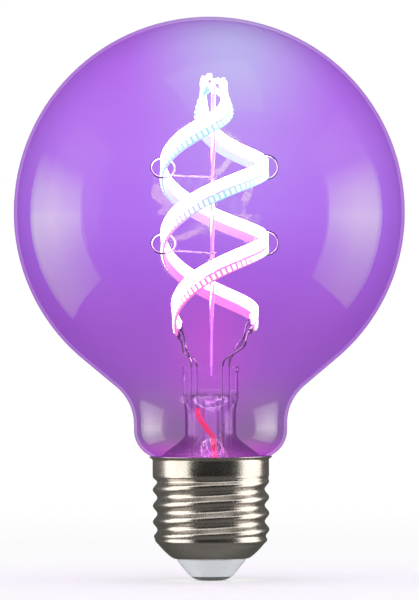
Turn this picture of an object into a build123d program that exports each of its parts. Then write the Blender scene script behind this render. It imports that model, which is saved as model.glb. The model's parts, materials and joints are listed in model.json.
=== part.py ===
from build123d import *
import math
import os

# All sizes are in millimetres. +Z is up, and the origin is the lowest point of the centre contact,
# on the axis of the screw cap.

# Screw cap of the 27 mm size
CREST_RADIUS = 13.15
THREAD_DEPTH = 1.0
ROOT_RADIUS = CREST_RADIUS - THREAD_DEPTH
THREAD_PITCH = 3.629
THREAD_PHASE_Z = 15.08
THREAD_START_Z = 9.0
THREAD_END_Z = 23.7
THREAD_RUN_IN = 1.5
SHELL_WALL = 0.3
CAP_TOP_Z = 28.0
LIP_HEIGHT = 0.8
LIP_FLARE = 0.75
SKIRT_STOCK = 0.05
SKIRT_MARGIN = 0.1
CONE_TOP_RADIUS = CREST_RADIUS - 0.5
CONE_FOOT_RADIUS = 8.35
CONE_FOOT_Z = 4.95
CONE_BULGE = 0.75
FIT_GAP = 0.05
TOUCH_GAP = 0.02

# Insulator and centre contact
INSULATOR_NOSE_RADIUS = 4.75
INSULATOR_TOP_Z = 8.6
CONTACT_HEIGHT = 0.9
CONTACT_RADIUS = 4.6
CONTACT_FLAT_RADIUS = 2.0
RIVET_RADIUS = 1.45
RIVET_HEAD_RADIUS = 2.3
RIVET_HEAD_HEIGHT = 0.4
RIVET_TOP_Z = 5.4

# Glass envelope, measured up from the top of the cap where it sits on the cap
GLASS_WALL = 0.7
GLOBE_RADIUS = 44.15
GLOBE_CENTRE_Z = CAP_TOP_Z + 55.1
SHOULDER_RADIUS = 43.0
FLANK_ANGLE = 50.0
NECK_OVERHANG = 4.15
NECK_RADIUS = CREST_RADIUS + NECK_OVERHANG
NECK_FILLET = 11.0
FOOT_END_Z = CAP_TOP_Z + 0.37
FOOT_DROP = 5.63
FOOT_CENTRE_Z = FOOT_END_Z + FOOT_DROP
FOOT_OVERHANG = 1.75
CEMENT_WALL = 0.55
COLLAR_RADIUS = CREST_RADIUS - SHELL_WALL - CEMENT_WALL
COLLAR_FILLET = 1.2
GLASS_RIM_Z = CAP_TOP_Z - 3.8

# Glass stem: flare, tube and flattened press
STEM_WALL = 0.9
STEM_TUBE_RADIUS = 5.7
STEM_RIM_GAP = 0.05
FLARE_BOTTOM_Z = CAP_TOP_Z - 1.0
FLARE_TOP_Z = CAP_TOP_Z + 5.2
PRESS_HALF_WIDTH = 6.2
PRESS_HALF_DEPTH = 1.7
PRESS_SQUARENESS = 4.5
PRESS_ROOT_Z = CAP_TOP_Z + 9.4
PRESS_FOOT_Z = CAP_TOP_Z + 14.6
PRESS_TOP_Z = CAP_TOP_Z + 20.2
CAVITY_TOP_Z = CAP_TOP_Z + 12.4
EXHAUST_RADIUS = 1.9
EXHAUST_WALL = 0.4
EXHAUST_TIP_Z = GLASS_RIM_Z + 0.4
EXHAUST_PORT_RADIUS = 0.7

# Centre post and its wire hooks
POST_RADIUS = 0.5
POST_DEPTH = 2.0
POST_FOOT_X = 0.25
POST_TOP_X = 1.15
POST_TOP_Z = PRESS_TOP_Z + 64.2
HOOK_WIRE_RADIUS = 0.22
HOOK_RING_RADIUS = 2.75
HOOK_DROP_LEFT = 2.2
HOOK_DROP_RIGHT = 3.8

# Spiral filaments: two strands wound the same way, half a turn apart, each a white and a colour strip
HELIX_AXIS_X = 1.2
HELIX_MID_Z = PRESS_TOP_Z + 45.0
HELIX_PITCH = 34.2
HELIX_TILT = 2.7
HELIX_REACH = 11.6
HELIX_STATIONS = (
    (-37.0, 8.4),
    (-31.0, 9.8),
    (-25.0, 11.1),
    (-16.7, HELIX_REACH),
    (-8.0, 12.0),
    (0.0, HELIX_REACH),
    (4.5, 10.2),
    (8.0, 8.0),
    (11.0, 5.3),
    (14.0, 3.4),
    (17.1, 2.5),
    (20.0, 2.1),
)
STRAND_TOP = 15.8
STRAND_TOP_ROOM = 3.6
STRAND_TURNS_DOWN = 376.0
STRAND_TURNS_UP = 222.0
WHITE_WIDTH = 2.4
WHITE_THICKNESS = 1.1
WHITE_BEVEL = 0.3
COLOUR_WIDTH = 1.8
COLOUR_THICKNESS = 0.4
STRIP_GAP = 0.2
CHIP_PITCH = 1.25
CHIP_LENGTH = 0.7
CHIP_WIDTH = 1.2
CHIP_HEIGHT = 0.35
CHIP_SEAT = 0.09
CHIP_TOP_STOP = 40.0
TAB_LENGTH = 1.8
TAB_WIDTH = 1.2
TAB_THICKNESS = 0.35

# Wires
LEAD_RADIUS = 0.25
LEAD_FEEDS = {"left_outer": -4.3, "left_inner": -3.0, "right_inner": 2.8, "right_outer": 4.3}
LEAD_END_Z = CAVITY_TOP_Z - 1.1
LEAD_RISE = 1.4
BRIDGE_RUN_OUT = 0.6
BRIDGE_HALF_SPAN = 0.7
SLEEVE_RADIUS = 0.5
SLEEVE_SPAN = (0.16, 0.5)
RED_WIRE_RADIUS = 0.62
SUPPLY_WIRE_RADIUS = 0.3

# Driver in the cap
BOARD_THICKNESS = 1.0
BOARD_BOTTOM_Z = INSULATOR_TOP_Z - 1.0
BOARD_TOP_Z = CAP_TOP_Z - 6.5
LINER_RADIUS = ROOT_RADIUS - SHELL_WALL - 0.35
LINER_WALL = 0.4
BOARD_WIDTH = 2.0 * (LINER_RADIUS - LINER_WALL) - 2.6
BOARD_PADS = {"left_outer": -5.4, "left_inner": 1.8, "right_inner": 4.2, "right_outer": 6.0}
LINER_TOP_Z = BOARD_TOP_Z - 0.5
CAPACITOR_RADIUS = 2.6
CAPACITOR_LENGTH = 8.0
INDUCTOR_RADIUS = 2.3
INDUCTOR_LENGTH = 5.0
RESISTOR_RADIUS = 1.1
RESISTOR_LENGTH = 6.0
LIVE_WIRE_RADIUS = 0.35


def blend(start, end, value):
    """0 at start, 1 at end, with a smooth run between."""
    t = min(1.0, max(0.0, (value - start) / (end - start)))
    return t * t * (3.0 - 2.0 * t)


def ring_wire(points):
    """A closed smooth curve through points that go once round."""
    shares = [k / len(points) for k in range(len(points) + 1)]
    return Wire([Edge.make_spline(points, periodic=True, parameters=shares)])


def rounded_ring(z, half_x, half_y, squareness, count=24):
    """A level ring that is an ellipse at squareness 2 and nears a rectangle above it."""
    points = []
    for k in range(count):
        a = 2.0 * math.pi * k / count
        c, s = math.cos(a), math.sin(a)
        reach = (abs(c / half_x) ** squareness + abs(s / half_y) ** squareness) ** (-1.0 / squareness)
        points.append(Vector(reach * c, reach * s, z))
    return ring_wire(points)


def steps(start, end, most):
    """Evenly spaced values from start to end, no further apart than most."""
    count = max(1, math.ceil((end - start) / most))
    return [start + (end - start) * k / count for k in range(count + 1)]


def tube(points, radius, biggest_bend=3.0):
    """A round wire along straight runs joined by tangent arcs."""
    points = [Vector(*p) for p in points]
    bends = []
    for before, here, after in zip(points, points[1:], points[2:]):
        turn = math.radians((here - before).get_angle(after - here))
        run = min((here - before).length, (after - here).length)
        bends.append(min(biggest_bend, 0.45 * run / math.tan(turn / 2.0)))
    if bends:
        path = FilletPolyline(*points, radius=bends)
    else:
        path = Line(points[0], points[1])
    profile = Plane(origin=path @ 0, z_dir=path % 0) * Circle(radius)
    return sweep(profile, path=path)


def cylinder_between(start, end, radius):
    start, end = Vector(*start), Vector(*end)
    length = (end - start).length
    return Plane(origin=start, z_dir=end - start) * Cylinder(
        radius, length, align=(Align.CENTER, Align.CENTER, Align.MIN)
    )


def disc_stack(radius, low, high):
    """A cylinder on the axis from one height to another."""
    return Pos(0, 0, low) * Cylinder(radius, high - low, align=(Align.CENTER, Align.CENTER, Align.MIN))


# Screw cap shell

def shell_radius(z, azimuth):
    """Outer radius of the rolled shell at a height and an angle round the axis."""
    turn = (z - THREAD_PHASE_Z) / THREAD_PITCH - azimuth / (2.0 * math.pi)
    wave = 0.5 + 0.5 * math.cos(2.0 * math.pi * turn)
    radius = ROOT_RADIUS + (CREST_RADIUS - ROOT_RADIUS) * wave
    radius += (CREST_RADIUS - radius) * blend(THREAD_END_Z - THREAD_RUN_IN, THREAD_END_Z, z)
    radius += (CONE_TOP_RADIUS - radius) * blend(THREAD_START_Z + THREAD_RUN_IN, THREAD_START_Z, z)
    radius += LIP_FLARE * blend(CAP_TOP_Z - LIP_HEIGHT, CAP_TOP_Z, z)
    if z < THREAD_START_Z:
        share = max(0.0, (z - CONE_FOOT_Z) / (THREAD_START_Z - CONE_FOOT_Z))
        radius = CONE_FOOT_RADIUS + (CONE_TOP_RADIUS - CONE_FOOT_RADIUS) * share**CONE_BULGE
    return radius


def stock_radius(z, azimuth):
    """Outer radius before the skirt is turned down to a true cylinder."""
    on_skirt = THREAD_END_Z + SKIRT_MARGIN < z < CAP_TOP_Z - LIP_HEIGHT - SKIRT_MARGIN
    return shell_radius(z, azimuth) + (SKIRT_STOCK if on_skirt else 0.0)


def shell_inner_radius(z, azimuth):
    """Inner radius, one wall inside the outer surface, square to it."""
    step = 0.05
    slope = (shell_radius(z + step, azimuth) - shell_radius(z, azimuth)) / step
    return shell_radius(z, azimuth) - SHELL_WALL * min(1.6, math.hypot(1.0, slope))


def shell_ring(z, radius_at, height):
    count = 16
    points = []
    for k in range(count):
        azimuth = 2.0 * math.pi * k / count
        radius = radius_at(height, azimuth)
        points.append(Vector(radius * math.cos(azimuth), radius * math.sin(azimuth), z))
    return ring_wire(points)


def make_cap_shell():
    cone = [CONE_FOOT_Z + (THREAD_START_Z - CONE_FOOT_Z) * (k / 8.0) ** 1.4 for k in range(8)]
    thread = steps(THREAD_START_Z, THREAD_END_Z, THREAD_PITCH / 8.0)
    skirt = steps(THREAD_END_Z, CAP_TOP_Z - LIP_HEIGHT, 0.8)[1:]
    lip = steps(CAP_TOP_Z - LIP_HEIGHT, CAP_TOP_Z, 0.2)[1:]
    heights = cone + thread + skirt + lip
    outer = Solid.make_loft([shell_ring(z, stock_radius, z) for z in heights])
    low, high = THREAD_END_Z + SKIRT_MARGIN, CAP_TOP_Z - LIP_HEIGHT - SKIRT_MARGIN
    outer -= disc_stack(CREST_RADIUS + LIP_FLARE, low, high) - disc_stack(CREST_RADIUS, low, high)
    rings = [shell_ring(heights[0] - 0.5, shell_inner_radius, heights[0])]
    rings += [shell_ring(z, shell_inner_radius, z) for z in heights]
    rings.append(shell_ring(heights[-1] + 0.5, shell_inner_radius, heights[-1]))
    return outer - Solid.make_loft(rings)


# Glass

def wall_profile(inset):
    """Half outline of the blown glass from the crown to the rim, moved inwards by inset."""
    flank = math.radians(FLANK_ANGLE)
    foot = 2.0 * math.atan((NECK_RADIUS - COLLAR_RADIUS - FOOT_OVERHANG) / FOOT_DROP)
    foot_radius = FOOT_DROP / math.sin(foot)

    def inward_run(centre, radius, angle, next_radius, fillet):
        """Arc down to an angle, straight run, and hollow fillet onto a smaller cylinder."""
        arc_end = (
            centre[0] + (radius - inset) * math.cos(angle),
            centre[1] - (radius - inset) * math.sin(angle),
        )
        outer_end = (centre[0] + radius * math.cos(angle), centre[1] - radius * math.sin(angle))
        hollow_x = next_radius + fillet
        start_x = hollow_x - fillet * math.cos(angle)
        run = (outer_end[0] - start_x) / math.sin(angle)
        hollow_z = outer_end[1] - run * math.cos(angle) - fillet * math.sin(angle)
        start = (
            hollow_x - (fillet + inset) * math.cos(angle),
            hollow_z + (fillet + inset) * math.sin(angle),
        )
        middle = (
            hollow_x - (fillet + inset) * math.cos(angle / 2.0),
            hollow_z + (fillet + inset) * math.sin(angle / 2.0),
        )
        arc_middle = (
            centre[0] + (radius - inset) * math.cos(angle / 2.0),
            centre[1] - (radius - inset) * math.sin(angle / 2.0),
        )
        return arc_middle, arc_end, start, middle, (next_radius - inset, hollow_z)

    crown = (0.0, GLOBE_CENTRE_Z + GLOBE_RADIUS - inset)
    half = math.sqrt(0.5) * (GLOBE_RADIUS - inset)
    equator = (GLOBE_RADIUS - inset, GLOBE_CENTRE_Z)
    shoulder = inward_run(
        (GLOBE_RADIUS - SHOULDER_RADIUS, GLOBE_CENTRE_Z), SHOULDER_RADIUS, flank, NECK_RADIUS, NECK_FILLET
    )
    foot_start = (NECK_RADIUS - inset, FOOT_CENTRE_Z)
    neck_foot = inward_run(
        (NECK_RADIUS - foot_radius, FOOT_CENTRE_Z), foot_radius, foot, COLLAR_RADIUS, COLLAR_FILLET
    )
    edges = [ThreePointArc(crown, (half, GLOBE_CENTRE_Z + half), equator)]
    for start, run in ((equator, shoulder), (foot_start, neck_foot)):
        edges.append(ThreePointArc(start, run[0], run[1]))
        edges.append(Line(run[1], run[2]))
        edges.append(ThreePointArc(run[2], run[3], run[4]))
        if start == equator:
            edges.append(Line(run[4], foot_start))
    edges.append(Line(neck_foot[4], (COLLAR_RADIUS - inset, GLASS_RIM_Z)))
    return edges, crown


def make_glass_envelope():
    outer, outer_crown = wall_profile(0.0)
    inner, inner_crown = wall_profile(GLASS_WALL)
    outline = outer + inner
    outline.append(Line(outer_crown, inner_crown))
    outline.append(Line((COLLAR_RADIUS, GLASS_RIM_Z), (COLLAR_RADIUS - GLASS_WALL, GLASS_RIM_Z)))
    return revolve(Plane.XZ * make_face(Curve() + outline), Axis.Z)


STEM_RIM_RADIUS = COLLAR_RADIUS - GLASS_WALL - STEM_RIM_GAP


def stem_reach(z):
    """Outer radius of the round part of the stem."""
    return STEM_RIM_RADIUS + (STEM_TUBE_RADIUS - STEM_RIM_RADIUS) * blend(FLARE_BOTTOM_Z, FLARE_TOP_Z, z)


def stem_bore(z):
    step = 0.05
    slope = (stem_reach(z + step) - stem_reach(z)) / step
    return stem_reach(z) - STEM_WALL * math.hypot(1.0, slope)


def stem_ring(z):
    """The round tube is flattened step by step into the press."""
    flat = blend(PRESS_ROOT_Z, PRESS_FOOT_Z, z)
    half_x = stem_reach(z) + (PRESS_HALF_WIDTH - STEM_TUBE_RADIUS) * flat
    half_y = stem_reach(z) + (PRESS_HALF_DEPTH - STEM_TUBE_RADIUS) * flat
    return rounded_ring(z, half_x, half_y, 2.0 + (PRESS_SQUARENESS - 2.0) * flat)


def cavity_ring(z, height):
    flat = blend(PRESS_ROOT_Z, CAVITY_TOP_Z + 0.8, height)
    half_x = stem_bore(height)
    half_y = stem_bore(height) - (STEM_TUBE_RADIUS - STEM_WALL - 0.9) * flat
    return rounded_ring(z, half_x, half_y, 2.0 + flat)


def make_stem_flare():
    heights = [GLASS_RIM_Z]
    heights += steps(GLASS_RIM_Z + 1.2, FLARE_TOP_Z + 0.6, 0.65)
    heights += steps(FLARE_TOP_Z + 1.6, PRESS_ROOT_Z, 1.6)
    heights += steps(PRESS_ROOT_Z, PRESS_FOOT_Z, 0.8)[1:]
    heights += steps(PRESS_FOOT_Z, PRESS_TOP_Z, 1.6)[1:]
    outer = Solid.make_loft([stem_ring(z) for z in heights])
    low = [z for z in heights if z < PRESS_ROOT_Z] + steps(PRESS_ROOT_Z, CAVITY_TOP_Z, 0.75)
    rings = [cavity_ring(low[0] - 0.5, low[0])]
    rings += [cavity_ring(z, z) for z in low]
    stem = outer - Solid.make_loft(rings)
    stem -= disc_stack(EXHAUST_RADIUS + TOUCH_GAP, CAVITY_TOP_Z - 3.0, CAVITY_TOP_Z)
    stem -= disc_stack(EXHAUST_PORT_RADIUS, CAVITY_TOP_Z, CAVITY_TOP_Z + 1.8)
    port = cylinder_between(
        (0, -STEM_TUBE_RADIUS, CAVITY_TOP_Z + 1.8), (0, 0, CAVITY_TOP_Z + 1.8), EXHAUST_PORT_RADIUS
    )
    stem -= port
    for feed in LEAD_FEEDS.values():
        stem -= Pos(feed, 0, 0) * disc_stack(LEAD_RADIUS + TOUCH_GAP, CAVITY_TOP_Z - 2.0, PRESS_TOP_Z + 1.0)
    stem -= cylinder_between(post_point(PRESS_TOP_Z - POST_DEPTH), post_point(PRESS_TOP_Z + 1.0),
                             POST_RADIUS + TOUCH_GAP)
    return stem


def make_exhaust_tube():
    tube_wall = disc_stack(EXHAUST_RADIUS, EXHAUST_TIP_Z, CAVITY_TOP_Z - TOUCH_GAP)
    bore = disc_stack(EXHAUST_RADIUS - EXHAUST_WALL, EXHAUST_TIP_Z + 1.2, CAVITY_TOP_Z)
    tube_wall -= bore
    tip = tube_wall.faces().sort_by(Axis.Z)[0].edges()
    return fillet(tip, EXHAUST_RADIUS * 0.7)


# Post and hooks

def post_point(z):
    """The post leans a little to +X as it rises."""
    share = (z - PRESS_TOP_Z) / (POST_TOP_Z - PRESS_TOP_Z)
    return Vector(POST_FOOT_X + (POST_TOP_X - POST_FOOT_X) * share, 0, z)


def make_centre_post():
    return cylinder_between(post_point(PRESS_TOP_Z - POST_DEPTH), post_point(POST_TOP_Z), POST_RADIUS)


def helix_reach(z):
    """Winding radius at a height from the middle, smooth through the stations."""
    stations = HELIX_STATIONS
    z = min(max(z, stations[0][0]), stations[-1][0])
    for k in range(len(stations) - 1):
        if z <= stations[k + 1][0]:
            break
    here, after = stations[k], stations[k + 1]
    before = stations[max(0, k - 1)]
    beyond = stations[min(len(stations) - 1, k + 2)]
    width = after[0] - here[0]
    t = (z - here[0]) / width
    rise_here = (after[1] - before[1]) / max(1e-9, after[0] - before[0]) * width
    rise_after = (beyond[1] - here[1]) / max(1e-9, beyond[0] - here[0]) * width
    return (
        (2 * t**3 - 3 * t**2 + 1) * here[1]
        + (t**3 - 2 * t**2 + t) * rise_here
        + (3 * t**2 - 2 * t**3) * after[1]
        + (t**3 - t**2) * rise_after
    )


def strand_point(turn, start):
    """Centre line of a strand. turn is the angle in degrees above its first crossing of the middle."""
    rise = turn / 360.0 * HELIX_PITCH
    reach = helix_reach(rise)
    if rise > STRAND_TOP:
        rise = STRAND_TOP + STRAND_TOP_ROOM * (1.0 - math.exp((STRAND_TOP - rise) / STRAND_TOP_ROOM))
    angle = math.radians(start + turn)
    tilt = HELIX_TILT * reach / HELIX_REACH
    return Vector(
        HELIX_AXIS_X + reach * math.cos(angle),
        reach * math.sin(angle),
        HELIX_MID_Z + rise - tilt * math.sin(angle),
    )


def strand_frame(turn, start):
    """Point, run, outward and sideways directions. Sideways points down the winding's surface."""
    point = strand_point(turn, start)
    run = (strand_point(turn + 1.0, start) - strand_point(turn - 1.0, start)).normalized()
    outward = Vector(point.X - HELIX_AXIS_X, point.Y, 0).normalized()
    sideways = run.cross(outward).normalized()
    outward = sideways.cross(run).normalized()
    return point, run, outward, sideways


def strand_plane(turn, start, shift, lift=0.0):
    """Plane square to the strand, with x down the winding's surface."""
    point, run, outward, sideways = strand_frame(turn, start)
    return Plane(origin=point + sideways * shift + outward * lift, x_dir=sideways, z_dir=run)


def bevelled(width, thickness, bevel):
    """Flat section with bevelled corners."""
    x, y = width / 2.0, thickness / 2.0
    corners = [(-x, -y + bevel), (-x + bevel, -y), (x - bevel, -y), (x, -y + bevel)]
    corners += [(-a, -b) for a, b in corners]
    return Polygon(*corners, align=None)


STRAND_STARTS = {"a": 180.0, "b": 0.0}
PAIR_WIDTH = WHITE_WIDTH + STRIP_GAP + COLOUR_WIDTH
WHITE_SHIFT = (WHITE_WIDTH - PAIR_WIDTH) / 2.0
COLOUR_SHIFT = (PAIR_WIDTH - COLOUR_WIDTH) / 2.0


def make_strip(start, shift, section):
    """Lofts short stretches of the winding and joins them where their end sections match."""
    stretch_count = 13
    step_count = 3
    whole = STRAND_TURNS_DOWN + STRAND_TURNS_UP
    all_count = stretch_count * step_count
    turns = [whole * k / all_count - STRAND_TURNS_DOWN for k in range(all_count + 1)]
    stretches = []
    for k in range(0, all_count, step_count):
        planes = [strand_plane(t, start, shift) for t in turns[k : k + step_count + 1]]
        stretches.append(loft([plane * section for plane in planes]))
    return stretches[0].fuse(*stretches[1:])


def make_chips(start):
    """A row of chips on the outer face of the colour strip, evenly spaced along it."""
    chips = []
    turn = -STRAND_TURNS_DOWN + 4.0
    travelled = CHIP_PITCH
    before = strand_point(turn, start)
    while turn < STRAND_TURNS_UP - CHIP_TOP_STOP:
        turn += 0.5
        here = strand_point(turn, start)
        travelled += (here - before).length
        before = here
        if travelled >= CHIP_PITCH:
            travelled = 0.0
            point, run, outward, sideways = strand_frame(turn, start)
            lift = COLOUR_THICKNESS / 2.0 + CHIP_HEIGHT / 2.0 + CHIP_SEAT
            seat = Plane(origin=point + sideways * COLOUR_SHIFT + outward * lift, x_dir=run, z_dir=outward)
            chips.append(seat * Box(CHIP_LENGTH, CHIP_WIDTH, CHIP_HEIGHT))
    return chips


def strip_end(turn, start, shift):
    """Where a strip ends, and the direction it points there, away from the strip."""
    point, run, outward, sideways = strand_frame(turn, start)
    away = run if turn > 0 else run * -1.0
    return point + sideways * shift, away, outward


def make_tabs(turn, start):
    tabs = []
    for shift in (WHITE_SHIFT, COLOUR_SHIFT):
        end, away, outward = strip_end(turn, start, shift)
        seat = Plane(origin=end + away * (TOUCH_GAP + TAB_LENGTH / 2.0), x_dir=away, z_dir=outward)
        tabs.append(seat * Box(TAB_LENGTH, TAB_WIDTH, TAB_THICKNESS))
    return tabs


def tab_tip(turn, start, shift):
    end, away, _ = strip_end(turn, start, shift)
    return end + away * (2.0 * TOUCH_GAP + TAB_LENGTH), away


def make_hook(turn, start):
    """Ring round a strand, an arm, and an eye round the post, bent from one wire."""
    point, run, outward, sideways = strand_frame(turn, start)
    drop = HOOK_DROP_LEFT if point.X < HELIX_AXIS_X else HOOK_DROP_RIGHT
    ring = Plane(origin=point, z_dir=run) * Torus(HOOK_RING_RADIUS, HOOK_WIRE_RADIUS)
    corner = point + (sideways - outward).normalized() * HOOK_RING_RADIUS
    eye_centre = post_point(point.Z - drop)
    eye_radius = POST_RADIUS + HOOK_WIRE_RADIUS + TOUCH_GAP
    eye = Plane(origin=eye_centre, z_dir=(0, 0, 1)) * Torus(eye_radius, HOOK_WIRE_RADIUS)
    flat = Vector(corner.X - eye_centre.X, corner.Y - eye_centre.Y, 0).normalized()
    arm = cylinder_between(eye_centre + flat * eye_radius, corner, HOOK_WIRE_RADIUS)
    return ring + arm + eye


def make_top_bridge():
    """Wire over the top of the post that joins the upper tabs of both strands."""
    apex = post_point(POST_TOP_Z) + Vector(0, 0, LEAD_RADIUS + TOUCH_GAP)
    halves = []
    for name in ("a", "b"):
        tip, away = tab_tip(STRAND_TURNS_UP, STRAND_STARTS[name], WHITE_SHIFT)
        side = Vector(tip.X - apex.X, tip.Y - apex.Y, 0).normalized() * BRIDGE_HALF_SPAN
        halves.append([tip, tip + away * BRIDGE_RUN_OUT, apex + side])
    return tube(halves[0] + halves[1][::-1], LEAD_RADIUS, 1.0)


def lead_route(name, shift, place):
    """Route of a lead from a lower tab into the press and out below it."""
    tip, away = tab_tip(-STRAND_TURNS_DOWN, STRAND_STARTS[name], shift)
    feed = LEAD_FEEDS[place]
    above = Vector(feed, 0, PRESS_TOP_Z + LEAD_RISE)
    shoulder = tip + away * 2.6 + Vector(0, 0, -2.2)
    return [tip, tip + away * 1.3, shoulder, above, Vector(feed, 0, LEAD_END_Z)]


LEADS = {
    "lead_left_outer": ("a", WHITE_SHIFT, "left_outer"),
    "lead_left_inner": ("a", COLOUR_SHIFT, "left_inner"),
    "lead_right_inner": ("b", COLOUR_SHIFT, "right_inner"),
    "lead_right_outer": ("b", WHITE_SHIFT, "right_outer"),
}


def make_lead_sleeve():
    """Insulating sleeve on the slanting run of the outer right lead."""
    route = lead_route(*LEADS["lead_right_outer"])
    start, end = route[2], route[3]
    low, high = start + (end - start) * SLEEVE_SPAN[0], start + (end - start) * SLEEVE_SPAN[1]
    outside = cylinder_between(low, high, SLEEVE_RADIUS)
    return outside - cylinder_between(start, end, LEAD_RADIUS + TOUCH_GAP)


def make_supply_wire(place, radius, front):
    """Wire from below the press, down past the exhaust tube, to the top edge of the board."""
    feed, board_x = LEAD_FEEDS[place], BOARD_PADS[place]
    top = LEAD_END_Z - TOUCH_GAP
    side = EXHAUST_RADIUS + radius + 0.5
    y = -side if front else side
    start = (feed, 0, top)
    if front:
        low = [(feed, 0, top - 1.0), (feed * 0.75, y * 0.75, top - 3.0), (0.6, y, top - 7.0)]
        low.append((0.9, y, GLASS_RIM_Z + 2.0))
    else:
        low = [(feed * 1.0, 0, GLASS_RIM_Z + 3.0)]
    return tube([start, *low, (board_x, 0, BOARD_TOP_Z + 1.6), (board_x, 0, BOARD_TOP_Z + TOUCH_GAP)], radius)


# Cap inside

def make_cap_cement():
    """Ring of cement between the glass collar and the skirt of the shell."""
    low, high = GLASS_RIM_Z + 0.3, CAP_TOP_Z - LIP_HEIGHT - 0.6
    outer = CREST_RADIUS - SHELL_WALL - TOUCH_GAP
    return disc_stack(outer, low, high) - disc_stack(COLLAR_RADIUS + TOUCH_GAP, low, high)


def make_cap_insulator():
    inside = steps(CONE_FOOT_Z + 0.5, INSULATOR_TOP_Z, 0.8)
    cone = [(shell_inner_radius(z, 0) - FIT_GAP, z) for z in inside]
    neck = CONE_FOOT_RADIUS - SHELL_WALL * 1.6 - FIT_GAP
    outline = [
        Line((RIVET_RADIUS + TOUCH_GAP, CONTACT_HEIGHT + TOUCH_GAP),
             (INSULATOR_NOSE_RADIUS, CONTACT_HEIGHT + TOUCH_GAP)),
        Line((INSULATOR_NOSE_RADIUS, CONTACT_HEIGHT + TOUCH_GAP), (neck - 0.5, CONE_FOOT_Z - 1.0)),
        TangentArc((neck - 0.5, CONE_FOOT_Z - 1.0), (neck, CONE_FOOT_Z - 0.2),
                   tangent=(neck - 0.5 - INSULATOR_NOSE_RADIUS, CONE_FOOT_Z - 1.0 - CONTACT_HEIGHT)),
        Line((neck, CONE_FOOT_Z - 0.2), (neck, CONE_FOOT_Z + 0.1)),
        Line((neck, CONE_FOOT_Z + 0.1), cone[0]),
        Spline(*cone),
        Line(cone[-1], (RIVET_HEAD_RADIUS + 0.2, INSULATOR_TOP_Z)),
        Line((RIVET_HEAD_RADIUS + 0.2, INSULATOR_TOP_Z),
             (RIVET_HEAD_RADIUS + 0.2, RIVET_TOP_Z - RIVET_HEAD_HEIGHT - TOUCH_GAP)),
        Line((RIVET_HEAD_RADIUS + 0.2, RIVET_TOP_Z - RIVET_HEAD_HEIGHT - TOUCH_GAP),
             (RIVET_RADIUS + TOUCH_GAP, RIVET_TOP_Z - RIVET_HEAD_HEIGHT - TOUCH_GAP)),
        Line((RIVET_RADIUS + TOUCH_GAP, RIVET_TOP_Z - RIVET_HEAD_HEIGHT - TOUCH_GAP),
             (RIVET_RADIUS + TOUCH_GAP, CONTACT_HEIGHT + TOUCH_GAP)),
    ]
    body = revolve(Plane.XZ * make_face(Curve() + outline), Axis.Z)
    slot = Pos(0, 0, BOARD_BOTTOM_Z - TOUCH_GAP) * Box(
        BOARD_WIDTH + 4.0 * TOUCH_GAP,
        BOARD_THICKNESS + 4.0 * TOUCH_GAP,
        4.0,
        align=(Align.CENTER, Align.CENTER, Align.MIN),
    )
    return body - slot


def make_centre_contact():
    outline = [
        Line((0, 0), (CONTACT_FLAT_RADIUS, 0)),
        TangentArc((CONTACT_FLAT_RADIUS, 0), (CONTACT_RADIUS, CONTACT_HEIGHT), tangent=(1, 0)),
        Line((CONTACT_RADIUS, CONTACT_HEIGHT), (RIVET_RADIUS, CONTACT_HEIGHT)),
        Line((RIVET_RADIUS, CONTACT_HEIGHT), (RIVET_RADIUS, RIVET_TOP_Z - RIVET_HEAD_HEIGHT)),
        Line((RIVET_RADIUS, RIVET_TOP_Z - RIVET_HEAD_HEIGHT),
             (RIVET_HEAD_RADIUS, RIVET_TOP_Z - RIVET_HEAD_HEIGHT)),
        Line((RIVET_HEAD_RADIUS, RIVET_TOP_Z - RIVET_HEAD_HEIGHT), (RIVET_HEAD_RADIUS, RIVET_TOP_Z)),
        Line((RIVET_HEAD_RADIUS, RIVET_TOP_Z), (0, RIVET_TOP_Z)),
        Line((0, RIVET_TOP_Z), (0, 0)),
    ]
    contact = revolve(Plane.XZ * make_face(Curve() + outline), Axis.Z)
    return contact - disc_stack(LIVE_WIRE_RADIUS + TOUCH_GAP, CONTACT_HEIGHT, RIVET_TOP_Z + 1.0)


# Driver

BOARD_FACE = BOARD_THICKNESS / 2.0


def board_block(x, z, width, depth, height, front):
    """A rounded housing that stands on one face of the board."""
    y = BOARD_FACE + TOUCH_GAP + depth / 2.0
    block = Pos(x, -y if front else y, z) * Box(width, depth, height)
    return fillet(block.edges().filter_by(Axis.Y), 0.3)


def make_driver_board():
    height = BOARD_TOP_Z - BOARD_BOTTOM_Z
    board = Pos(0, 0, BOARD_BOTTOM_Z + height / 2.0) * Box(BOARD_WIDTH, BOARD_THICKNESS, height)
    return fillet(board.edges().filter_by(Axis.Y), 0.8)


def make_driver_liner():
    low = INSULATOR_TOP_Z + TOUCH_GAP
    bore = disc_stack(LINER_RADIUS - LINER_WALL, low, LINER_TOP_Z)
    return disc_stack(LINER_RADIUS, low, LINER_TOP_Z) - bore


def make_bulk_capacitor():
    """Electrolytic capacitor with the rolled groove near its base."""
    groove = 0.25
    outline = Polyline(
        (0, 0), (CAPACITOR_RADIUS - 0.3, 0), (CAPACITOR_RADIUS, 0.3), (CAPACITOR_RADIUS, 1.2),
        (CAPACITOR_RADIUS - groove, 1.5), (CAPACITOR_RADIUS, 1.8), (CAPACITOR_RADIUS, CAPACITOR_LENGTH - 0.3),
        (CAPACITOR_RADIUS - 0.3, CAPACITOR_LENGTH), (0, CAPACITOR_LENGTH), close=True,
    )
    can = revolve(Plane.XZ * make_face(outline), Axis.Z)
    return Pos(-5.8, -(BOARD_FACE + TOUCH_GAP + CAPACITOR_RADIUS), INSULATOR_TOP_Z + 1.4) * can


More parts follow.
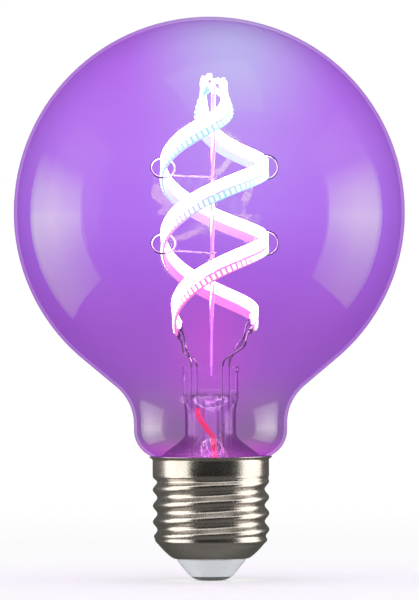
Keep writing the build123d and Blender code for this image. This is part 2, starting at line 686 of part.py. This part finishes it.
def make_inductor():
    """Drum core with its winding sunk between two rims."""
    rim = 0.8
    outline = Polyline(
        (0, 0), (INDUCTOR_RADIUS, 0), (INDUCTOR_RADIUS, rim), (INDUCTOR_RADIUS - 0.4, rim),
        (INDUCTOR_RADIUS - 0.4, INDUCTOR_LENGTH - rim), (INDUCTOR_RADIUS, INDUCTOR_LENGTH - rim),
        (INDUCTOR_RADIUS, INDUCTOR_LENGTH), (0, INDUCTOR_LENGTH), close=True,
    )
    drum = revolve(Plane.XZ * make_face(outline), Axis.Z)
    return Pos(-6.2, BOARD_FACE + TOUCH_GAP + INDUCTOR_RADIUS, INSULATOR_TOP_Z + 3.0) * drum


RESISTOR_Y = -(BOARD_FACE + RESISTOR_RADIUS + 0.2)
RESISTOR_LOW_Z = INSULATOR_TOP_Z + 1.6


def make_fusible_resistor():
    high = RESISTOR_LOW_Z + RESISTOR_LENGTH
    body = Pos(0, RESISTOR_Y, 0) * disc_stack(RESISTOR_RADIUS, RESISTOR_LOW_Z, high)
    body = fillet(body.edges().filter_by(GeomType.CIRCLE), 0.35)
    lead = tube(
        [(0, RESISTOR_Y, high - 0.3), (0, RESISTOR_Y, high + 1.4), (0, -BOARD_FACE - TOUCH_GAP, high + 1.4)],
        LIVE_WIRE_RADIUS,
        0.6,
    )
    return body + lead


def make_live_wire():
    bend = RIVET_TOP_Z + 0.7
    return tube(
        [
            (0, 0, CONTACT_HEIGHT + TOUCH_GAP),
            (0, 0, bend),
            (0, RESISTOR_Y, bend + 1.1),
            (0, RESISTOR_Y, RESISTOR_LOW_Z - TOUCH_GAP),
        ],
        LIVE_WIRE_RADIUS,
        0.8,
    )


def make_neutral_wire():
    """From the board's top edge over the liner to the inside of the shell."""
    level = BOARD_TOP_Z + 1.2
    wall = min(shell_inner_radius(level + d, 0) for d in (-LIVE_WIRE_RADIUS, 0, LIVE_WIRE_RADIUS))
    x = BOARD_WIDTH / 2.0 - 1.4
    return tube(
        [(x, 0, BOARD_TOP_Z + TOUCH_GAP), (x, 0, level), (wall - TOUCH_GAP, 0, level)], LIVE_WIRE_RADIUS, 0.6
    )


NODES = {
    "glass_envelope": make_glass_envelope,
    "stem_flare": make_stem_flare,
    "exhaust_tube": make_exhaust_tube,
    "centre_post": make_centre_post,
    "top_bridge": make_top_bridge,
    "lead_sleeve": make_lead_sleeve,
    "red_wire": lambda: make_supply_wire("left_inner", RED_WIRE_RADIUS, True),
    "supply_wire_left": lambda: make_supply_wire("left_outer", SUPPLY_WIRE_RADIUS, False),
    "supply_wire_inner_right": lambda: make_supply_wire("right_inner", SUPPLY_WIRE_RADIUS, False),
    "supply_wire_outer_right": lambda: make_supply_wire("right_outer", SUPPLY_WIRE_RADIUS, False),
    "cap_shell": make_cap_shell,
    "cap_cement": make_cap_cement,
    "cap_insulator": make_cap_insulator,
    "centre_contact": make_centre_contact,
    "driver_board": make_driver_board,
    "driver_liner": make_driver_liner,
    "bulk_capacitor": make_bulk_capacitor,
    "inductor": make_inductor,
    "fusible_resistor": make_fusible_resistor,
    "bridge_rectifier": lambda: board_block(5.6, INSULATOR_TOP_Z + 3.6, 4.8, 1.7, 4.0, True),
    "driver_chip": lambda: board_block(5.6, BOARD_TOP_Z - 3.0, 4.9, 1.5, 3.9, True),
    "wireless_module": lambda: board_block(3.4, INSULATOR_TOP_Z + 6.2, 9.6, 2.2, 8.8, False),
    "live_wire": make_live_wire,
    "neutral_wire": make_neutral_wire,
}
for strand, strand_start in STRAND_STARTS.items():
    NODES["white_filament_" + strand] = lambda s=strand_start: make_strip(
        s, WHITE_SHIFT, bevelled(WHITE_WIDTH, WHITE_THICKNESS, WHITE_BEVEL)
    )
    NODES["colour_strip_" + strand] = lambda s=strand_start: make_strip(
        s, COLOUR_SHIFT, Rectangle(COLOUR_WIDTH, COLOUR_THICKNESS)
    )
    NODES["colour_chips_" + strand] = lambda s=strand_start: make_chips(s)
    NODES["top_tabs_" + strand] = lambda s=strand_start: make_tabs(STRAND_TURNS_UP, s)
    NODES["foot_tabs_" + strand] = lambda s=strand_start: make_tabs(-STRAND_TURNS_DOWN, s)
    NODES["hook_upper_" + strand] = lambda s=strand_start: make_hook(0.0, s)
    NODES["hook_middle_" + strand] = lambda s=strand_start: make_hook(-180.0, s)
for lead_name, lead_details in LEADS.items():
    NODES[lead_name] = lambda d=lead_details: tube(lead_route(*d), LEAD_RADIUS, 2.0)

os.makedirs("parts", exist_ok=True)
for node, make in NODES.items():
    made = make()
    if isinstance(made, list):
        made = Compound(children=made)
    export_step(made, os.path.join("parts", node + ".step"))
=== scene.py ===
import json
import math
import bpy
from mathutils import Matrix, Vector

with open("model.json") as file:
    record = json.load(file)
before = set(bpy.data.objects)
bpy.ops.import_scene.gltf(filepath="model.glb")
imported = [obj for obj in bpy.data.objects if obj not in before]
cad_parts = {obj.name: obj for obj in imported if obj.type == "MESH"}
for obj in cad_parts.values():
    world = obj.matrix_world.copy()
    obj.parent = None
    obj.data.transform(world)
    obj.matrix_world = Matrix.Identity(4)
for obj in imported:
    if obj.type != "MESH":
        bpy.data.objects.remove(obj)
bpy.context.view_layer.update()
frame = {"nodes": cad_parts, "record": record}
nodes = frame["nodes"]

# All lengths are in metres, in the frame of the CAD model: +Z up, -Y towards the viewer.
# Colours and brightnesses are linear. A ramp is a list of (place from 0 to 1, colour or level).
MM = 0.001

# Camera: level and far back. VIEW_HEIGHT is what the picture's height spans at the bulb.
VIEW_HEIGHT = 135.5 * MM
VIEW_DISTANCE = 1.6
VIEW_ROLL = math.radians(0.34)
AIM_X = -0.07 * MM
AIM_Z = 63.3 * MM
SENSOR = 36.0
CLIP_END = 20.0

# Floor: a pale disc whose edge fades into the white background
FLOOR_RADIUS = 0.55
FLOOR_SIDES = 96
FLOOR_Z = -0.02 * MM
FLOOR_COLOUR = (0.93, 0.93, 0.93)
FLOOR_GLOW_POWER = 0.38
FLOOR_FADE = [(0.45, 0.0), (0.98, 1.0)]

# World: white to the camera. FRONT goes from before the bulb to behind it, and RISE from below to above.
WORLD_WHITE = (1.0, 1.0, 1.0)
WORLD_FILL = (0.62, 0.62, 0.62)
WORLD_FRONT = [(0.0, 0.02), (0.12, 0.03), (0.30, 0.10), (0.5, 0.22), (0.8, 0.12), (1.0, 0.10)]
WORLD_RISE = [(0.0, 0.15), (0.25, 0.10), (0.40, 0.0), (0.60, 0.0), (0.75, 0.10), (1.0, 0.15)]

# Softboxes: name, azimuth and elevation in degrees, distance, width, height, radiance, and how the
# brightness goes from side to side and from bottom to top. Azimuth is turned from the camera's side,
# positive to the right. The cap has its own, because the photo shows its lights at another angle.
EVEN = [(0.0, 1.0), (1.0, 1.0)]
CENTRED = [(0.0, 0.8), (0.5, 1.2), (1.0, 0.8)]
FADED = [(0.0, 0.3), (0.1, 0.4), (0.25, 0.5), (0.42, 0.7), (0.6, 1.0), (0.8, 0.6), (0.96, 0.12), (1.0, 0.0)]
GLOBE_SOFTBOXES = [
    ("left_softbox", -103.0, -6.0, 0.55, 0.50, 0.56, 2.7, CENTRED, FADED),
    ("right_softbox", 96.0, -6.0, 0.55, 0.48, 0.56, 2.6, CENTRED, FADED),
]
CAP_SOFTBOXES = [
    ("cap_left_softbox", -74.0, 0.0, 0.55, 0.64, 1.10, 1.7, EVEN, EVEN),
    ("cap_right_softbox", 90.0, 0.0, 0.55, 0.56, 1.10, 1.7, EVEN, EVEN),
    ("cap_strip", 0.0, 48.0, 0.50, 1.40, 0.16, 1.1, EVEN, EVEN),
]
TOP_LIGHT = ("top_light", 20.0, 78.0, 0.9, 0.6, 0.6, 0.3, EVEN, EVEN)
CAP_PIECES = ("cap_shell", "cap_insulator", "centre_contact")

# Envelope glass: its tint by height, for all the surfaces together that a ray crosses. The tint is the lamp's
# violet light painted into clear glass, lighter and bluer towards the crown.
GLASS_LOW_Z, GLASS_HIGH_Z = 24.0 * MM, 127.5 * MM
GLASS_SURFACES = 4
GLASS_PAINTED_GLOW_TINTS = [
    (0.00, (0.62, 0.10, 0.62)),
    (0.045, (0.60, 0.10, 0.60)),
    (0.08, (0.27, 0.16, 0.32)),
    (0.15, (0.30, 0.15, 0.40)),
    (0.22, (0.36, 0.11, 0.58)),
    (0.32, (0.37, 0.10, 0.64)),
    (0.45, (0.42, 0.14, 0.80)),
    (0.57, (0.48, 0.19, 0.94)),
    (0.70, (0.52, 0.21, 0.97)),
    (0.86, (0.53, 0.18, 0.98)),
    (1.00, (0.56, 0.18, 1.00)),
]
GLASS_EDGE = [(0.0, 1.0), (0.5, 0.98), (0.8, 0.93), (0.93, 0.84), (1.0, 0.7)]
GLASS_LUSTRE = [
    (0.00, (0.90, 1.00, 0.80)),
    (0.22, (0.85, 1.00, 0.70)),
    (0.40, (0.50, 0.85, 0.00)),
    (1.00, (0.50, 0.85, 0.00)),
]
# Painted violet glow on the glass, carried with the mirror share, so strongest at the rim
GLASS_GLOW = (0.32, 0.05, 0.62)
GLASS_ROUGH = [(0.3, 0.03), (0.7, 0.06)]
GLASS_SMEAR_SCALE = 40.0
FACE_MIRROR, RIM_MIRROR, RIM_POWER = 0.06, 0.5, 4.0
FAR_WALL_MIRROR = 0.4

# Patches of light on the envelope: colour, X of the centre, half width, and strength by height
CROWN_PATCH = (
    (0.60, 0.60, 1.00), 6.0 * MM, 27.0 * MM,
    [(0.45, 0.0), (0.60, 0.15), (0.75, 0.32), (0.86, 0.75), (0.95, 1.0)],
)
FOOT_PATCH = (
    (0.58, 0.10, 0.68), 0.0, 14.0 * MM,
    [(0.10, 0.0), (0.16, 0.3), (0.24, 0.8), (0.32, 0.7), (0.45, 0.0)],
)

# Stem glass: faint draw lines along it, and a painted glow, standing in for the lamp's light in it, that
# fades from face on to the edge
STEM_IOR = 1.55
STEM_COAT = 0.5
STEM_ROUGH = [(0.3, 0.02), (0.7, 0.07)]
STEM_SMEAR_SCALE = 300.0
STEM_LINES_SCALE, STEM_LINES_DEPTH = 900.0, 0.12 * MM
STEM_GLOW_FACE, STEM_GLOW_MIDDLE, STEM_GLOW_END = (1.0, 0.8, 1.0), (0.9, 0.6, 0.9), (0.0, 0.0, 0.0)

# Stretches of a noise: the smaller a number, the longer the marks run that way
ALONG_STEM = (1.0, 1.0, 0.05)
ALONG_WIRE = (1.0, 1.0, 0.15)
ROUND_CAP = (0.06, 0.06, 1.0)

# Nickel: colour by its clouding, and roughness by clouding and grain
NICKEL_COLOURS = [(0.25, (0.56, 0.50, 0.43)), (0.5, (0.66, 0.60, 0.53)), (0.75, (0.74, 0.68, 0.61))]
NICKEL_ROUGH = [(0.35, 0.17), (0.65, 0.33)]
NICKEL_GRAIN_SCALE, NICKEL_DRAWN_SCALE, NICKEL_CLOUD_SCALE = 2600.0, 500.0, 120.0
NICKEL_RELIEF = 0.04 * MM

# Lit strips: the colour turns from the low one to the high one between these shares of the height
STRIP_LOW_Z, STRIP_HIGH_Z = 50.0 * MM, 112.0 * MM
STRIP_TURN_START, STRIP_TURN_END = 0.42, 0.58
STRIP_GRAIN_SCALE = 900.0
STRIP_ROUGH = 0.45

# Drawn metal, and the skin of moulded pieces
DRAWN_SCALE, DRAWN_RELIEF = 900.0, 0.02 * MM
SKIN_FINER_THAN_CLOUDS = 9.0

PRINCIPLED_SOCKETS = {
    "base": "Base Color",
    "rough": "Roughness",
    "metal": "Metallic",
    "normal": "Normal",
    "ior": "IOR",
    "specular": "Specular IOR Level",
    "coat": "Coat Weight",
    "clear": "Transmission Weight",
    "glow": "Emission Color",
    "glow_power": "Emission Strength",
}


# Node helpers

class Tree:
    """Short calls for building a shader tree."""

    def __init__(self, owner):
        owner.use_nodes = True
        self.nodes = owner.node_tree.nodes
        self.links = owner.node_tree.links
        self.nodes.clear()

    def add(self, kind, settings=None, **inputs):
        node = self.nodes.new(kind)
        for key, value in (settings or {}).items():
            setattr(node, key, value)
        for key, value in inputs.items():
            self.feed(node, key.replace("_", " "), value)
        return node

    def feed(self, node, key, value):
        """Links or sets one input, by name or number. A colour is given without its alpha."""
        socket = node.inputs[int(key)] if key.isdigit() else node.inputs[key]
        if isinstance(value, bpy.types.NodeSocket):
            self.links.new(value, socket)
        elif socket.type == "RGBA":
            socket.default_value = (*value, 1.0)
        else:
            socket.default_value = value

    def place(self):
        """The point's place in the frame of the CAD model."""
        return self.add("ShaderNodeTexCoord").outputs["Object"]

    def part_of(self, vector, axis):
        return self.add("ShaderNodeSeparateXYZ", Vector=vector).outputs[axis]

    def height_share(self, low, high):
        """0 at one height of the object and 1 at another."""
        height = self.part_of(self.place(), "Z")
        return self.add("ShaderNodeMapRange", Value=height, From_Min=low, From_Max=high).outputs[0]

    def noise(self, scale, detail=3.0, roughness=0.55, stretch=(1.0, 1.0, 1.0)):
        place = self.add("ShaderNodeMapping", Vector=self.place(), Scale=stretch).outputs[0]
        node = self.add("ShaderNodeTexNoise", Vector=place, Scale=scale, Detail=detail, Roughness=roughness)
        return node.outputs["Fac"]

    def ramp(self, value, stops, kind="LINEAR"):
        node = self.add("ShaderNodeValToRGB")
        self.links.new(value, node.inputs[0])
        node.color_ramp.interpolation = kind
        elements = node.color_ramp.elements
        while len(elements) > 1:
            elements.remove(elements[-1])
        for k, (at, colour) in enumerate(stops):
            element = elements[0] if k == 0 else elements.new(at)
            element.position = at
            element.color = (*colour, 1.0)
        return node.outputs[0]

    def grey_ramp(self, value, stops, kind="LINEAR"):
        return self.ramp(value, [(at, (level, level, level)) for at, level in stops], kind)

    def math(self, operation, a, b=0.0, c=0.0):
        node = self.add("ShaderNodeMath", {"operation": operation})
        for key, value in (("0", a), ("1", b), ("2", c)):
            self.feed(node, key, value)
        return node.outputs[0]

    def mix(self, share, a, b, kind="MIX"):
        node = self.add("ShaderNodeMix", {"data_type": "RGBA", "blend_type": kind})
        for key, value in (("0", share), ("6", a), ("7", b)):
            self.feed(node, key, value)
        return node.outputs[2]

    def mix_shaders(self, share, first, second):
        node = self.add("ShaderNodeMixShader", Fac=share)
        self.links.new(first, node.inputs[1])
        self.links.new(second, node.inputs[2])
        return node.outputs[0]

    def bump(self, height, distance, strength):
        return self.add("ShaderNodeBump", Height=height, Distance=distance, Strength=strength).outputs[0]

    def principled(self, **inputs):
        node = self.add("ShaderNodeBsdfPrincipled")
        for key, value in inputs.items():
            self.feed(node, PRINCIPLED_SOCKETS[key], value)
        return node.outputs[0]

    def end(self, shader, kind="ShaderNodeOutputMaterial"):
        self.add(kind, Surface=shader)


def new_material(name):
    material = bpy.data.materials.new(name)
    return material, Tree(material)


# Materials

def light_patch(tree, tint, share, colour, centre_x, half_width, strengths):
    """Mixes a soft patch of light into the tint."""
    aside = tree.math("ABSOLUTE", tree.math("SUBTRACT", tree.part_of(tree.place(), "X"), centre_x))
    near = tree.grey_ramp(tree.math("DIVIDE", aside, half_width), [(0.0, 1.0), (1.0, 0.0)], "EASE")
    return tree.mix(tree.math("MULTIPLY", near, tree.grey_ramp(share, strengths)), tint, colour)


def envelope_glass():
    """Clear glass with the violet light from inside painted on: tinted where it is looked through,
    mirror-like and glowing at its rim.
    """
    material, tree = new_material("envelope_glass")
    share = tree.height_share(GLASS_LOW_Z, GLASS_HIGH_Z)
    # The see-through tint carries the painted violet glow, and the painted patches of light are mixed into it
    # below
    tint = tree.ramp(share, GLASS_PAINTED_GLOW_TINTS)
    for patch in (CROWN_PATCH, FOOT_PATCH):
        tint = light_patch(tree, tint, share, *patch)
    tint = tree.add("ShaderNodeGamma", Color=tint, Gamma=1.0 / GLASS_SURFACES).outputs[0]
    facing = tree.add("ShaderNodeLayerWeight", Blend=0.5).outputs["Facing"]
    tint = tree.mix(1.0, tint, tree.grey_ramp(facing, GLASS_EDGE), "MULTIPLY")
    clear = tree.add("ShaderNodeBsdfTransparent", Color=tint).outputs[0]

    rough = tree.grey_ramp(tree.noise(GLASS_SMEAR_SCALE, 4.0), GLASS_ROUGH)
    lustre = tree.ramp(share, GLASS_LUSTRE)
    # The gloss also carries the painted violet glow
    gloss = tree.principled(base=lustre, rough=rough, metal=1.0, glow=GLASS_GLOW, glow_power=1.0)

    # The far wall mirrors less than the near one, so that its reflections stay faint
    mirror = tree.math("MULTIPLY_ADD", tree.math("POWER", facing, RIM_POWER), RIM_MIRROR, FACE_MIRROR)
    crossed = tree.add("ShaderNodeLightPath").outputs["Transparent Depth"]
    near_wall = tree.math("LESS_THAN", crossed, GLASS_SURFACES / 2.0 - 0.5)
    wall = tree.math("MULTIPLY_ADD", near_wall, 1.0 - FAR_WALL_MIRROR, FAR_WALL_MIRROR)
    tree.end(tree.mix_shaders(tree.math("MULTIPLY", mirror, wall), clear, gloss))
    return material


def stem_glass(name, tint, edge_tint, lit, streak_end):
    """Thick clear glass with faint draw lines, darker where it is seen edge on.

    lit is how strongly its painted glow shines, standing in for the lamp's light inside, and streak_end is
    where that glow ends on the way to the edge.
    """
    material, tree = new_material(name)
    lines = tree.noise(STEM_LINES_SCALE, 2.0, stretch=ALONG_STEM)
    ripple = tree.bump(lines, STEM_LINES_DEPTH, 0.35)
    rough = tree.grey_ramp(tree.noise(STEM_SMEAR_SCALE, 3.0), STEM_ROUGH)
    facing = tree.add("ShaderNodeLayerWeight", Blend=0.5).outputs["Facing"]
    depth = tree.ramp(facing, [(0.0, tint), (0.3, tint), (0.6, edge_tint), (1.0, edge_tint)])
    streak = tree.ramp(facing, [
        (0.0, STEM_GLOW_FACE), (streak_end / 2.0, STEM_GLOW_MIDDLE), (streak_end, STEM_GLOW_END),
    ])
    tree.end(tree.principled(
        base=depth, rough=rough, clear=1.0, ior=STEM_IOR, normal=ripple, coat=STEM_COAT,
        glow=streak, glow_power=lit,
    ))
    return material


def nickel():
    """Satin nickel plate: fine grain, drawn lines round the cap, and slight clouding."""
    material, tree = new_material("nickel")
    grain = tree.noise(NICKEL_GRAIN_SCALE, 2.0, 0.6)
    drawn = tree.noise(NICKEL_DRAWN_SCALE, 3.0, 0.6, ROUND_CAP)
    cloud = tree.noise(NICKEL_CLOUD_SCALE, 4.0, 0.6)
    relief = tree.math("ADD", tree.math("MULTIPLY", grain, 0.6), tree.math("MULTIPLY", drawn, 0.6))
    mottle = tree.math("ADD", tree.math("MULTIPLY", cloud, 0.5), tree.math("MULTIPLY", grain, 0.5))
    tree.end(tree.principled(
        base=tree.ramp(cloud, NICKEL_COLOURS), rough=tree.grey_ramp(mottle, NICKEL_ROUGH), metal=1.0,
        normal=tree.bump(relief, NICKEL_RELIEF, 0.6),
    ))
    return material


def lit_strip(name, base, low_colour, high_colour, power, speck):
    """A lit strip: phosphor or chips that glow, with a fine grain. speck is how white the grain gets."""
    material, tree = new_material(name)
    share = tree.height_share(STRIP_LOW_Z, STRIP_HIGH_Z)
    colour = tree.ramp(share, [
        (0.0, low_colour), (STRIP_TURN_START, low_colour), (STRIP_TURN_END, high_colour), (1.0, high_colour),
    ])
    grain = tree.noise(STRIP_GRAIN_SCALE, 2.0)
    glow = tree.mix(tree.grey_ramp(grain, [(0.35, speck), (0.65, 0.0)]), colour, (1.0, 1.0, 1.0))
    tree.end(tree.principled(base=base, rough=STRIP_ROUGH, glow=glow, glow_power=power))
    return material


def drawn_metal(name, dark, light, rough_low, rough_high):
    """Drawn or pressed metal, with fine streaks along the axis."""
    material, tree = new_material(name)
    streak = tree.noise(DRAWN_SCALE, 3.0, 0.6, ALONG_WIRE)
    colour = tree.ramp(streak, [(0.3, dark), (0.7, light)])
    rough = tree.grey_ramp(streak, [(0.3, rough_low), (0.7, rough_high)])
    normal = tree.bump(streak, DRAWN_RELIEF, 0.5)
    tree.end(tree.principled(base=colour, rough=rough, metal=1.0, normal=normal))
    return material


def moulded(name, dark, light, rough_low, rough_high, scale=300.0, grain=0.02 * MM, coat=0.0, lit=0.0):
    """A matt or glossy solid colour with slight clouding and a fine skin.

    grain is the skin's depth, and lit is the strength of a painted glow in its own colour, standing in for
    the lamp's light through it.
    """
    material, tree = new_material(name)
    cloud = tree.noise(scale, 4.0)
    colour = tree.ramp(cloud, [(0.3, dark), (0.7, light)])
    rough = tree.grey_ramp(cloud, [(0.3, rough_low), (0.7, rough_high)])
    skin = tree.bump(tree.noise(scale * SKIN_FINER_THAN_CLOUDS, 2.0), grain, 0.5)
    tree.end(tree.principled(base=colour, rough=rough, normal=skin, coat=coat, glow=colour, glow_power=lit))
    return material


SLOT_MATERIALS = {
    "envelope_glass": envelope_glass(),
    "stem_glass": stem_glass("stem_glass", (0.93, 0.82, 0.97), (0.42, 0.05, 0.42), 0.05, 0.45),
    "nickel": nickel(),
    "wire": drawn_metal("wire", (0.42, 0.38, 0.42), (0.66, 0.62, 0.66), 0.22, 0.38),
    "white_light": lit_strip("white_light", (0.9, 0.85, 0.92), (1.0, 0.96, 1.0), (1.0, 0.98, 1.0), 14.0, 0.1),
    "pink_light": lit_strip("pink_light", (0.16, 0.05, 0.12), (1.0, 0.45, 0.5), (0.35, 1.0, 0.62), 1.5, 0.1),
    "chip_light": lit_strip("chip_light", (0.2, 0.2, 0.2), (0.55, 1.0, 0.30), (0.32, 1.0, 0.26), 4.2, 0.05),
    # The red sleeve has a painted glow, standing in for the lamp's light through it
    "red_sleeve": moulded("red_sleeve", (0.90, 0.02, 0.06), (1.0, 0.04, 0.10), 0.35, 0.5, lit=1.6),
    "pale_sleeve": moulded(
        "pale_sleeve", (0.66, 0.58, 0.60), (0.85, 0.78, 0.78), 0.6, 0.8, scale=1500.0, grain=0.06 * MM
    ),
    "insulator": moulded(
        "insulator", (0.68, 0.71, 0.74), (0.74, 0.77, 0.80), 0.28, 0.40,
        scale=200.0, grain=0.01 * MM, coat=0.3
    ),
    "cement": moulded(
        "cement", (0.55, 0.50, 0.42), (0.74, 0.70, 0.62), 0.8, 0.95, scale=900.0, grain=0.1 * MM
    ),
    "contact_metal": drawn_metal("contact_metal", (0.60, 0.60, 0.60), (0.85, 0.85, 0.85), 0.5, 0.65),
    "board": moulded("board", (0.02, 0.14, 0.06), (0.04, 0.22, 0.10), 0.35, 0.5),
    "black_part": moulded("black_part", (0.012, 0.012, 0.014), (0.03, 0.03, 0.032), 0.4, 0.6),
    "white_part": moulded("white_part", (0.72, 0.72, 0.70), (0.82, 0.82, 0.80), 0.5, 0.7),
    "can_metal": drawn_metal("can_metal", (0.55, 0.56, 0.58), (0.75, 0.76, 0.78), 0.25, 0.4),
    "resistor_body": moulded("resistor_body", (0.32, 0.20, 0.10), (0.46, 0.32, 0.18), 0.3, 0.45),
}

# Pieces that the light shines through or along look unlike the others of their slot, with a painted glow: a
# bright core down the post, and a white glow on the wire tabs and bridge
post_glass = stem_glass("post_glass", (0.95, 0.80, 0.97), (0.40, 0.03, 0.36), 0.55, 0.14)
lit_wire = moulded("lit_wire", (0.85, 0.80, 0.88), (0.95, 0.90, 0.96), 0.3, 0.45, lit=3.0)
OWN_MATERIALS = {
    "centre_post": post_glass,
    "top_tabs_a": lit_wire,
    "top_tabs_b": lit_wire,
    "top_bridge": lit_wire,
}

slot_of_node = {row["node"]: row["material_slot"] for row in frame["record"]["subparts"]}
for name, piece in nodes.items():
    piece.data.materials.clear()
    piece.data.materials.append(OWN_MATERIALS.get(name, SLOT_MATERIALS[slot_of_node[name]]))

# The cap would mirror the globe's violet, which it doesn't in the photo
nodes["glass_envelope"].visible_glossy = False


# Floor, light and camera

def make_floor():
    """A pale round floor that takes the bulb's shadow, but hides no softbox from what mirrors it."""
    mesh = bpy.data.meshes.new("floor")
    turns = [2 * math.pi * k / FLOOR_SIDES for k in range(FLOOR_SIDES)]
    ring = [(FLOOR_RADIUS * math.cos(turn), FLOOR_RADIUS * math.sin(turn), FLOOR_Z) for turn in turns]
    faces = [(0, k + 1, (k + 1) % FLOOR_SIDES + 1) for k in range(FLOOR_SIDES)]
    mesh.from_pydata([(0.0, 0.0, FLOOR_Z)] + ring, [], faces)
    floor = bpy.data.objects.new("floor", mesh)
    bpy.context.scene.collection.objects.link(floor)
    material, tree = new_material("floor_paint")
    length = tree.add("ShaderNodeVectorMath", {"operation": "LENGTH"})
    tree.links.new(tree.place(), length.inputs[0])
    fade = tree.grey_ramp(tree.math("DIVIDE", length.outputs["Value"], FLOOR_RADIUS), FLOOR_FADE)
    paint = tree.principled(
        base=FLOOR_COLOUR, rough=0.8, specular=0.1, glow=WORLD_WHITE, glow_power=FLOOR_GLOW_POWER,
    )
    clear = tree.add("ShaderNodeBsdfTransparent").outputs[0]
    mirrored = tree.add("ShaderNodeLightPath").outputs["Is Glossy Ray"]
    tree.end(tree.mix_shaders(tree.math("MAXIMUM", mirrored, fade), paint, clear))
    mesh.materials.append(material)


def make_world():
    """White where the camera looks, a studio with a dim front for gloss, and an even fill."""
    world = bpy.data.worlds.new("studio")
    bpy.context.scene.world = world
    tree = Tree(world)
    way = tree.add("ShaderNodeTexCoord").outputs["Generated"]
    back = tree.math("MULTIPLY_ADD", tree.part_of(way, "Y"), 0.5, 0.5)
    up = tree.math("MULTIPLY_ADD", tree.part_of(way, "Z"), 0.5, 0.5)
    gloss = tree.math("MAXIMUM", tree.grey_ramp(back, WORLD_FRONT), tree.grey_ramp(up, WORLD_RISE))
    path = tree.add("ShaderNodeLightPath")
    seen = tree.math("MAXIMUM", path.outputs["Is Camera Ray"], path.outputs["Is Transmission Ray"])
    level = tree.mix(path.outputs["Is Glossy Ray"], WORLD_FILL, gloss)
    level = tree.mix(seen, level, WORLD_WHITE)
    background = tree.add("ShaderNodeBackground", Color=level, Strength=1.0)
    tree.end(background.outputs[0], "ShaderNodeOutputWorld")


def make_softbox(name, azimuth, elevation, distance, width, height, radiance, across, rise):
    """A soft light that looks at the middle of the bulb. The tables above say what each value is."""
    light = bpy.data.lights.new(name, "AREA")
    light.shape = "RECTANGLE"
    light.size, light.size_y = width, height
    light.energy = radiance * math.pi * width * height
    tree = Tree(light)
    spot = tree.add("ShaderNodeNewGeometry").outputs["Parametric"]
    sideways = tree.grey_ramp(tree.part_of(spot, "X"), across)
    upwards = tree.grey_ramp(tree.part_of(spot, "Y"), rise)
    emission = tree.add("ShaderNodeEmission", Strength=tree.math("MULTIPLY", sideways, upwards))
    tree.end(emission.outputs[0], "ShaderNodeOutputLight")
    lamp = bpy.data.objects.new(name, light)
    bpy.context.scene.collection.objects.link(lamp)
    a, e = math.radians(azimuth), math.radians(elevation)
    away = Vector((math.sin(a) * math.cos(e), -math.cos(a) * math.cos(e), math.sin(e)))
    lamp.location = Vector((0.0, 0.0, AIM_Z)) + away * distance
    lamp.rotation_euler = (-away).to_track_quat("-Z", "Y").to_euler()
    return lamp


def shine_on(lamp, names):
    """Lets a lamp light only the nodes of these names."""
    lit = bpy.data.collections.new(lamp.name + "_lit")
    for piece in sorted((nodes[name] for name in names), key=lambda p: p.name):
        lit.objects.link(piece)
    lamp.light_linking.receiver_collection = lit


def make_lights():
    rest = [name for name in nodes if name not in CAP_PIECES]
    for row in GLOBE_SOFTBOXES:
        shine_on(make_softbox(*row), rest)
    for row in CAP_SOFTBOXES:
        shine_on(make_softbox(*row), CAP_PIECES)
    make_softbox(*TOP_LIGHT)


def make_camera():
    camera = bpy.data.cameras.new("camera")
    camera.sensor_width = SENSOR
    camera.lens = SENSOR * VIEW_DISTANCE / VIEW_HEIGHT
    camera.clip_end = CLIP_END
    eye = bpy.data.objects.new("camera", camera)
    bpy.context.scene.collection.objects.link(eye)
    eye.location = (AIM_X, -VIEW_DISTANCE, AIM_Z)
    eye.rotation_euler = (math.pi / 2.0, VIEW_ROLL, 0.0)
    bpy.context.scene.camera = eye


make_floor()
make_world()
make_lights()
make_camera()
bpy.context.scene.view_settings.view_transform = "Standard"
